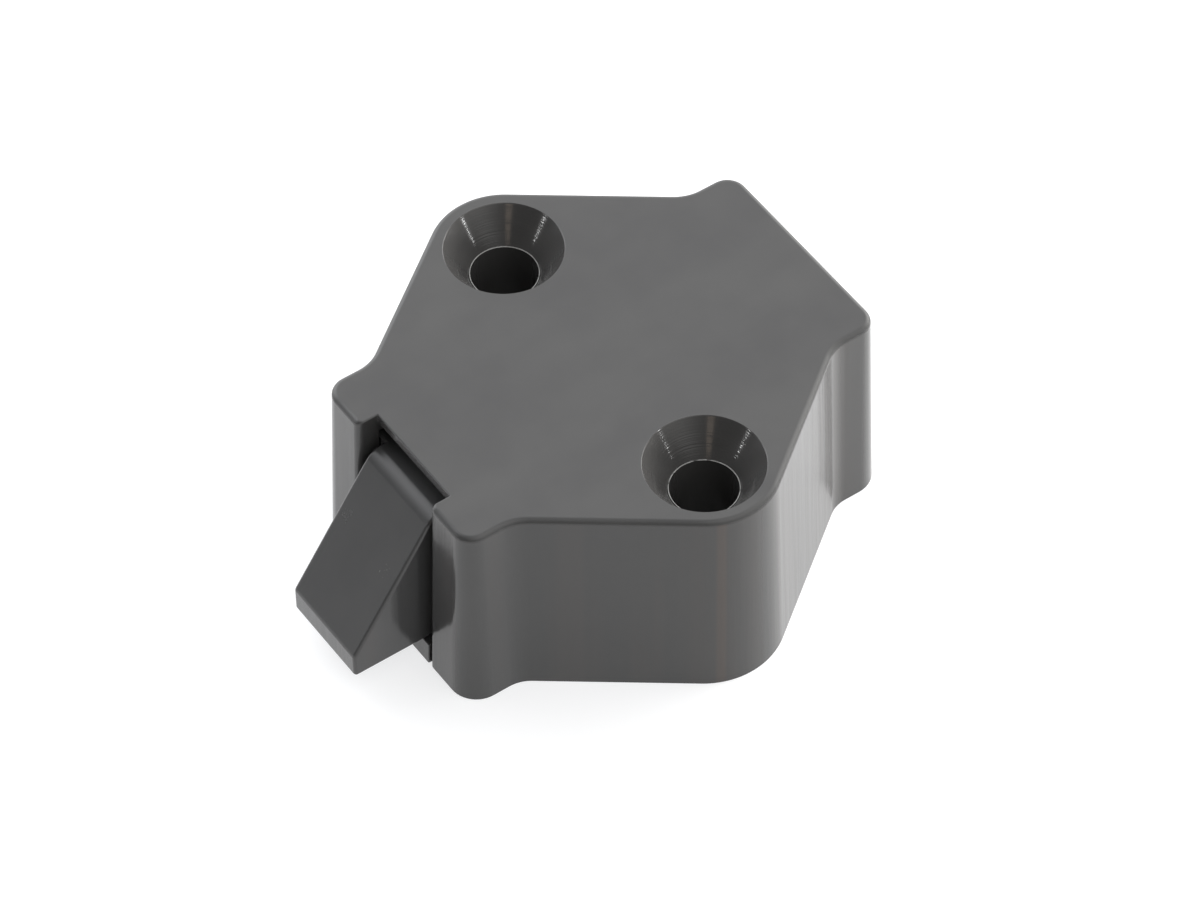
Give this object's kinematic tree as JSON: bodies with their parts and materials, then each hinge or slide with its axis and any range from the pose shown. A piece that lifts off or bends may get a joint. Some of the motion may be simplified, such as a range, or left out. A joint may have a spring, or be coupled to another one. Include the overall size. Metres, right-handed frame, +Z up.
{
  "type": "cabinet latch",
  "caption": "Small surface-mounted spring latch: moulded case with countersunk screw holes, a sloped sprung bolt and a base plate with a hole for a push button.",
  "frame": {"origin": "on the mounting face, midway between the two screw holes", "axes": "+Z up from the mounting face through the cover, +X through the screw holes, the bolt points to -Y and draws back along +Y"},
  "size_m": [0.034, 0.0394, 0.016],
  "materials": {
    "case_plastic": "satin moulded dark grey",
    "bolt_plastic": "satin moulded dark grey",
    "spring_steel": "bright drawn wire",
    "plate_plastic": "plain moulded dark grey"
  },
  "bodies": {
    "case": {"housing": "case_plastic", "base_plate": "plate_plastic", "spring_left": "spring_steel", "spring_right": "spring_steel"},
    "bolt": {"latch_bolt": "bolt_plastic"}
  },
  "joints": [
    {"name": "bolt_slide", "type": "slide", "parent": "case", "child": "bolt", "axis": [0, 1, 0], "range_m": [0, 0.0054], "stiffness_N_per_m": 1500, "springref_m": -0.003, "deforming": ["spring_left", "spring_right"]}
  ]
}
